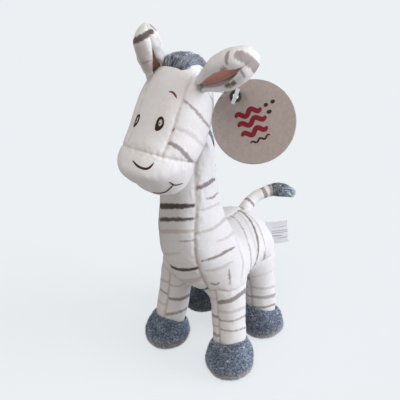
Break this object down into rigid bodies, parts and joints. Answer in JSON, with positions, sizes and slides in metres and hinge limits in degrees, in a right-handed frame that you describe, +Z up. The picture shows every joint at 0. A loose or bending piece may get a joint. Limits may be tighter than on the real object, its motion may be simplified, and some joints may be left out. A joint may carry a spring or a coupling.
{
  "type": "plush zebra",
  "caption": "Standing stuffed zebra with stripes, blue-grey hooves, mane and tail tuft, embroidered face, upright ears and a round card hang tag.",
  "frame": {"origin": "centre of the bounding box's bottom face, on the floor under the hooves", "axes": "+Z up, -Y to the zebra's front, +X to its left"},
  "size_m": [0.1236, 0.1892, 0.2843],
  "materials": {
    "white_plush": "short velour pile, off-white with grey and beige stripes",
    "muzzle_plush": "short velour pile, plain",
    "blue_grey_plush": "longer tufted pile, blue-grey with dark and pale fibres",
    "sole_fabric": "short dense pile",
    "ear_lining": "short pile, dusty pink",
    "filling": "loose polyester fibre, inside",
    "thread": "satin embroidery, dark brown",
    "light_thread": "satin embroidery, white",
    "tag_card": "matt board with faint flecks",
    "eyelet": "dark painted rim, pale inner barrel",
    "fastener_plastic": "moulded white plastic",
    "label_fabric": "thin satin ribbon, white"
  },
  "bodies": {
    "torso": {"chest_and_belly_panel": "white_plush", "left_body_panel": "white_plush", "right_body_panel": "white_plush", "neck_filling": "filling", "torso_filling": "filling", "neck_mane": "blue_grey_plush"},
    "head": {"muzzle_panel": "muzzle_plush", "face_gusset": "white_plush", "left_cheek_panel": "white_plush", "right_cheek_panel": "white_plush", "head_filling": "filling", "head_mane": "blue_grey_plush", "left_eye": "thread", "left_eye_light": "light_thread", "right_eye": "thread", "right_eye_light": "light_thread", "nose_stitching": "thread", "mouth_stitching": "thread"},
    "left_ear_body": {"left_ear": "white_plush", "left_ear_lining": "ear_lining"},
    "right_ear_body": {"right_ear": "white_plush", "right_ear_lining": "ear_lining"},
    "front_left_leg": {"front_left_leg_skin": "white_plush", "front_left_leg_filling": "filling", "front_left_hoof_cover": "blue_grey_plush", "front_left_hoof_sole": "sole_fabric"},
    "front_right_leg": {"front_right_leg_skin": "white_plush", "front_right_leg_filling": "filling", "front_right_hoof_cover": "blue_grey_plush", "front_right_hoof_sole": "sole_fabric"},
    "rear_left_leg": {"rear_left_leg_skin": "white_plush", "rear_left_leg_filling": "filling", "rear_left_hoof_cover": "blue_grey_plush", "rear_left_hoof_sole": "sole_fabric"},
    "rear_right_leg": {"rear_right_leg_skin": "white_plush", "rear_right_leg_filling": "filling", "rear_right_hoof_cover": "blue_grey_plush", "rear_right_hoof_sole": "sole_fabric"},
    "tail_body": {"tail": "white_plush", "tail_tuft": "blue_grey_plush"},
    "hang_tag": {"tag_card": "tag_card", "tag_eyelet": "eyelet", "tag_fastener": "fastener_plastic"},
    "care_label_body": {"care_label": "label_fabric"}
  },
  "joints": [
    {"name": "head_nod", "type": "hinge", "parent": "torso", "child": "head", "pos_m": [-0.01093, -0.03406, 0.196], "axis": [1, 0, 0], "range_deg": [-10, 8], "stiffness_Nm_per_rad": 1.5},
    {"name": "left_ear_flop", "type": "hinge", "parent": "head", "child": "left_ear_body", "pos_m": [0.00807, -0.04306, 0.251], "axis": [-0.1168, 0.9932, 0], "range_deg": [-10, 20], "stiffness_Nm_per_rad": 0.02},
    {"name": "right_ear_flop", "type": "hinge", "parent": "head", "child": "right_ear_body", "pos_m": [-0.02993, -0.04306, 0.251], "axis": [0.9701, 0.2425, 0], "range_deg": [-10, 20], "stiffness_Nm_per_rad": 0.02},
    {"name": "front_left_leg_swing", "type": "hinge", "parent": "torso", "child": "front_left_leg", "pos_m": [0.01157, -0.01206, 0.087], "axis": [1, 0, 0], "range_deg": [-12, 5], "stiffness_Nm_per_rad": 2},
    {"name": "front_right_leg_swing", "type": "hinge", "parent": "torso", "child": "front_right_leg", "pos_m": [-0.03343, -0.01206, 0.087], "axis": [1, 0, 0], "range_deg": [-12, 5], "stiffness_Nm_per_rad": 2},
    {"name": "rear_left_leg_swing", "type": "hinge", "parent": "torso", "child": "rear_left_leg", "pos_m": [0.01157, 0.03644, 0.087], "axis": [1, 0, 0], "range_deg": [-5, 8], "stiffness_Nm_per_rad": 2},
    {"name": "rear_right_leg_swing", "type": "hinge", "parent": "torso", "child": "rear_right_leg", "pos_m": [-0.03343, 0.03644, 0.087], "axis": [1, 0, 0], "range_deg": [-5, 8], "stiffness_Nm_per_rad": 2},
    {"name": "tail_lift", "type": "hinge", "parent": "torso", "child": "tail_body", "pos_m": [-0.01093, 0.05594, 0.108], "axis": [1, 0, 0], "range_deg": [-15, 20], "stiffness_Nm_per_rad": 0.05},
    {"name": "tag_swing", "type": "hinge", "parent": "head", "child": "hang_tag", "pos_m": [0.00583, -0.0285, 0.241], "axis": [-0.8829, -0.4695, 0], "range_deg": [0, 30]},
    {"name": "care_label_flap", "type": "hinge", "parent": "torso", "child": "care_label_body", "pos_m": [0.01157, 0.05544, 0.0915], "axis": [0, 0, 1], "range_deg": [-25, 25], "stiffness_Nm_per_rad": 0.001}
  ]
}
